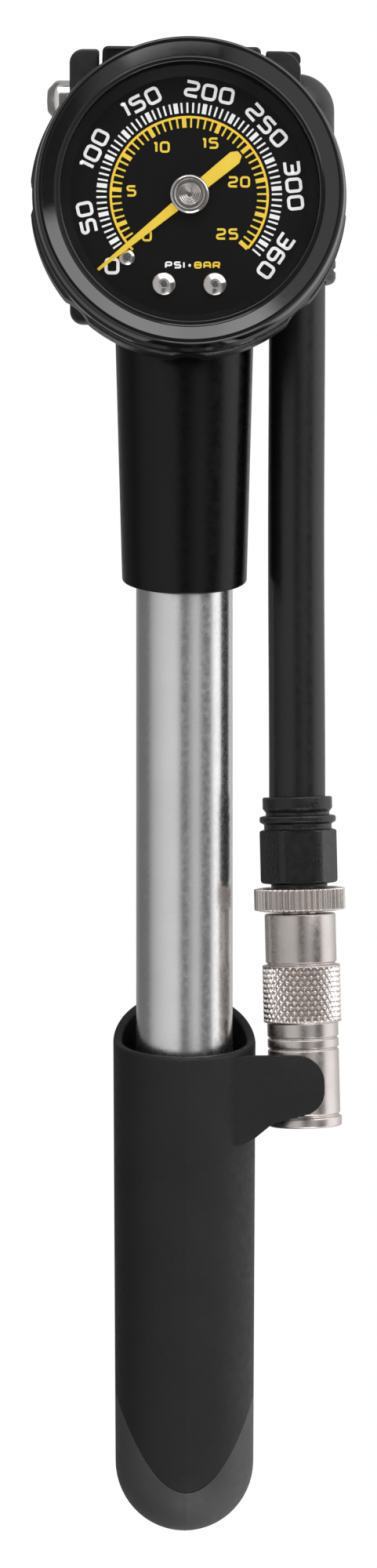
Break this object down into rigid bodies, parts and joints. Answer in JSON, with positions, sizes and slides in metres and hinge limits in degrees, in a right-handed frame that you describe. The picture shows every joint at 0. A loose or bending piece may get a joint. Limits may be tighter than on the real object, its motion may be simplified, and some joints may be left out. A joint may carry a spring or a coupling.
{
  "type": "shock suspension pump",
  "caption": "Compact hand pump for bicycle air springs with a round dial gauge, sliding handle, folding hose and screw-on valve chuck.",
  "frame": {"origin": "on the flat back of the head, under the axis of the gauge", "axes": "+Z the way the dial faces, +Y from the handle towards the gauge, +X the side of the hose"},
  "size_m": [0.0466, 0.2189, 0.037],
  "materials": {
    "gloss_black": "satin gloss moulding",
    "satin_black": "satin moulding",
    "matte_black": "fine-grained matte moulding",
    "grey_plastic": "matte moulding",
    "black_rubber": "moulded",
    "bare_aluminium": "satin drawn tube",
    "nickel": "satin nickel plate",
    "steel": "turned",
    "brass": "machined",
    "dial_black": "matt print ground",
    "pointer_yellow": "matt yellow paint",
    "clear": "clear window"
  },
  "bodies": {
    "pump_body": {"head_core": "gloss_black", "head_shell": "satin_black", "cover_screw_1": "steel", "cover_screw_2": "steel", "cover_screw_3": "steel", "cover_screw_4": "steel", "upper_sleeve": "gloss_black", "barrel": "bare_aluminium", "barrel_seal": "black_rubber", "rod_guide": "brass", "check_seat": "brass", "check_spring": "steel", "gauge_case": "satin_black", "gauge_grip": "black_rubber", "gauge_bezel": "gloss_black", "lens_gasket": "black_rubber", "gauge_lens": "clear", "dial_plate": "dial_black", "dial_screw_left": "steel", "dial_screw_right": "steel", "pointer_stop": "steel", "movement_lower_plate": "brass", "movement_upper_plate": "brass", "movement_post_left": "brass", "movement_post_right": "brass", "bourdon_tube": "brass", "hair_spring": "steel", "gauge_socket": "brass", "socket_o_ring": "black_rubber", "bleed_spring": "steel", "bleed_bush": "brass", "elbow_clip": "steel"},
    "check_valve": {"check_poppet": "black_rubber"},
    "sector": {"sector_gear": "brass"},
    "pointer_shaft": {"pointer": "pointer_yellow", "pointer_hub": "nickel", "pinion_shaft": "brass"},
    "link": {"tube_link": "steel"},
    "bleed": {"bleed_button": "nickel", "bleed_stem": "brass", "bleed_o_ring": "black_rubber"},
    "piston_head": {"piston": "bare_aluminium", "piston_o_ring": "black_rubber"},
    "handle": {"piston_rod": "steel", "rod_bumper": "black_rubber", "rod_anchor": "brass", "handle_shell": "matte_black", "handle_end_cap": "grey_plastic"},
    "hose_line": {"swivel_elbow": "nickel", "elbow_o_ring": "black_rubber", "upper_boot": "black_rubber", "hose": "black_rubber", "lower_boot": "black_rubber", "hose_ferrule": "steel", "chuck_core": "nickel", "valve_seal": "black_rubber"},
    "wheel": {"thumb_wheel": "nickel"},
    "pin": {"valve_pin": "steel"},
    "sleeve": {"chuck_sleeve": "nickel"}
  },
  "joints": [
    {"name": "handle_slide", "type": "slide", "parent": "pump_body", "child": "piston_head", "axis": [0, -1, 0], "range_m": [0, 0.14]},
    {"name": "handle_spin", "type": "hinge", "parent": "piston_head", "child": "handle", "pos_m": [0, -0.1, 0.0107], "axis": [0, -1, 0], "range_deg": [0, 240]},
    {"name": "bleed_press", "type": "slide", "parent": "pump_body", "child": "bleed", "axis": [1, 0, 0], "range_m": [0, 0.0015], "stiffness_N_per_m": 1200, "springref_m": -0.0005, "deforming": ["bleed_spring"]},
    {"name": "check_lift", "type": "slide", "parent": "pump_body", "child": "check_valve", "axis": [0, 1, 0], "range_m": [0, 0.001], "stiffness_N_per_m": 150, "springref_m": -0.001, "deforming": ["check_spring"]},
    {"name": "sector_turn", "type": "hinge", "parent": "pump_body", "child": "sector", "pos_m": [0, -0.0132, 0.0278], "axis": [0, 0, 1], "range_deg": [0, 26], "stiffness_Nm_per_rad": 0.004},
    {"name": "pointer_turn", "type": "hinge", "parent": "pump_body", "child": "pointer_shaft", "pos_m": [0, 0, 0.033], "axis": [0, 0, -1], "range_deg": [0, 260]},
    {"name": "link_turn", "type": "hinge", "parent": "sector", "child": "link", "pos_m": [0.004, -0.0132, 0.0289], "axis": [0, 0, 1], "range_deg": [-26, 0]},
    {"name": "hose_swivel", "type": "hinge", "parent": "pump_body", "child": "hose_line", "pos_m": [0.01685, 0.0165, 0.0107], "axis": [1, 0, 0], "range_deg": [0, 85]},
    {"name": "wheel_turn", "type": "hinge", "parent": "hose_line", "child": "wheel", "pos_m": [0.01723, -0.10119, 0.0107], "axis": [0.0244, -0.9997, 0], "range_deg": [0, 720]},
    {"name": "pin_push", "type": "slide", "parent": "hose_line", "child": "pin", "axis": [0.0244, -0.9997, 0], "range_m": [0, 0.0015]},
    {"name": "sleeve_spin", "type": "hinge", "parent": "hose_line", "child": "sleeve", "pos_m": [0.01766, -0.11899, 0.0107], "axis": [0.0244, -0.9997, 0], "continuous": true}
  ],
  "couplings": [
    {"joint": "pointer_turn", "follows": "sector_turn", "ratio": 10},
    {"joint": "link_turn", "follows": "sector_turn", "ratio": -1},
    {"joint": "pin_push", "follows": "wheel_turn", "m_per_rad": 0.00011937}
  ]
}
